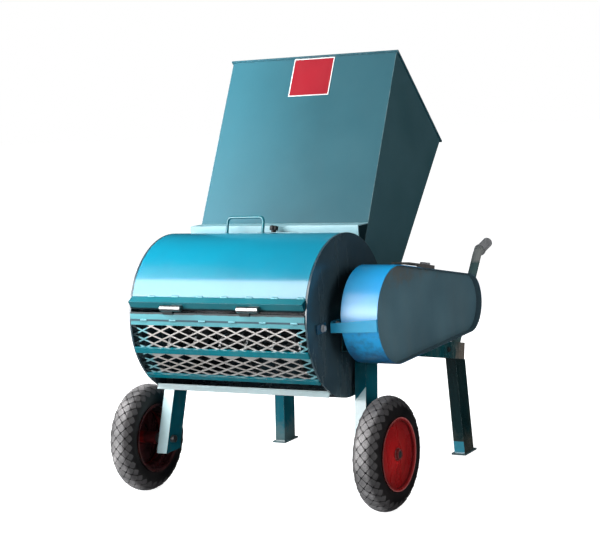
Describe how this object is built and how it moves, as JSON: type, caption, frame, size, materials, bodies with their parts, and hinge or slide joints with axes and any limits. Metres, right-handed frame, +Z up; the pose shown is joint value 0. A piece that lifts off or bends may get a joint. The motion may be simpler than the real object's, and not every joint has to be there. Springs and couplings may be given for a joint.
{
  "type": "chaff cutter",
  "caption": "Wheeled, belt-driven drum chaff cutter with a tilted feed hopper, a hinged drum cover, bladed rotor, mesh discharge screens, belt guard and push handles.",
  "frame": {"origin": "on the ground, at the middle of the outline in X and Y", "axes": "+Z up, +X along the drum towards the belt guard, +Y back towards the feeding side and the push handles"},
  "size_m": [1.026, 1.3786, 1.4591],
  "materials": {
    "teal_paint": "gloss teal enamel",
    "cover_paint": "high gloss cyan enamel",
    "guard_paint": "gloss blue enamel",
    "bare_steel": "bare mild steel",
    "dark_iron": "dark raw iron",
    "grip_rubber": "matt moulded rubber",
    "tyre_rubber": "worn pneumatic tyre rubber",
    "wheel_paint": "red enamel"
  },
  "bodies": {
    "chassis": {"side_rail_left": "teal_paint", "side_rail_right": "teal_paint", "front_leg_left": "teal_paint", "front_leg_right": "teal_paint", "rear_leg_left": "teal_paint", "rear_leg_right": "teal_paint", "foot_plates": "teal_paint", "cross_members": "teal_paint", "stub_axles": "bare_steel", "push_handle_left": "teal_paint", "push_handle_right": "teal_paint", "grip_left": "grip_rubber", "grip_right": "grip_rubber", "end_plate_left": "teal_paint", "end_plate_right": "teal_paint", "housing_pads": "dark_iron", "lower_shell": "teal_paint", "cage_top_rail": "teal_paint", "cage_ribs": "teal_paint", "screen_upper": "bare_steel", "screen_lower": "bare_steel", "bottom_lip": "teal_paint", "throat_strip": "teal_paint", "hopper_front": "teal_paint", "hopper_left": "teal_paint", "hopper_right": "teal_paint", "hopper_rear": "teal_paint", "hopper_rim": "teal_paint", "hinge_frame_barrels": "bare_steel", "hinge_pins": "bare_steel", "counter_knives": "bare_steel", "bearing_left": "teal_paint", "bearing_right": "teal_paint", "drive_belts": "grip_rubber", "motor_casing": "guard_paint", "motor_fan_cover": "guard_paint", "terminal_box": "guard_paint", "motor_rails": "dark_iron", "guard_band": "guard_paint", "guard_face": "guard_paint", "guard_bracket": "cover_paint", "guard_stay": "bare_steel", "axle_nuts": "bare_steel", "frame_bolts": "bare_steel"},
    "cover": {"drum_cover": "cover_paint", "cover_edge_angle": "cover_paint", "cover_handle": "teal_paint", "hinge_cover_barrels": "bare_steel", "latch_bar": "teal_paint"},
    "latch": {"latch_knob": "dark_iron"},
    "rotor": {"rotor_shaft": "bare_steel", "rotor_tube": "dark_iron", "knives": "bare_steel", "drum_pulley": "dark_iron"},
    "motor_rotor": {"motor_shaft": "bare_steel", "motor_pulley": "dark_iron"},
    "left_wheel": {"tyre_left": "tyre_rubber", "rim_left": "wheel_paint"},
    "right_wheel": {"tyre_right": "tyre_rubber", "rim_right": "wheel_paint"}
  },
  "joints": [
    {"name": "cover_hinge", "type": "hinge", "parent": "chassis", "child": "cover", "pos_m": [-0.002, -0.67933, 0.67942], "axis": [1, 0, 0], "range_deg": [0, 120]},
    {"name": "latch_turn", "type": "hinge", "parent": "cover", "child": "latch", "pos_m": [0.023, -0.3178, 0.8743], "axis": [0, 0.3173, 0.9483], "continuous": true},
    {"name": "rotor_spin", "type": "hinge", "parent": "chassis", "child": "rotor", "pos_m": [-0.002, -0.4019, 0.623], "axis": [1, 0, 0], "continuous": true},
    {"name": "motor_spin", "type": "hinge", "parent": "chassis", "child": "motor_rotor", "pos_m": [-0.002, 0.1511, 0.576], "axis": [1, 0, 0], "continuous": true},
    {"name": "left_wheel_spin", "type": "hinge", "parent": "chassis", "child": "left_wheel", "pos_m": [-0.466, -0.4349, 0.185], "axis": [1, 0, 0], "continuous": true},
    {"name": "right_wheel_spin", "type": "hinge", "parent": "chassis", "child": "right_wheel", "pos_m": [0.462, -0.4349, 0.185], "axis": [1, 0, 0], "continuous": true}
  ],
  "couplings": [
    {"joint": "motor_spin", "follows": "rotor_spin", "ratio": 2.1111}
  ]
}
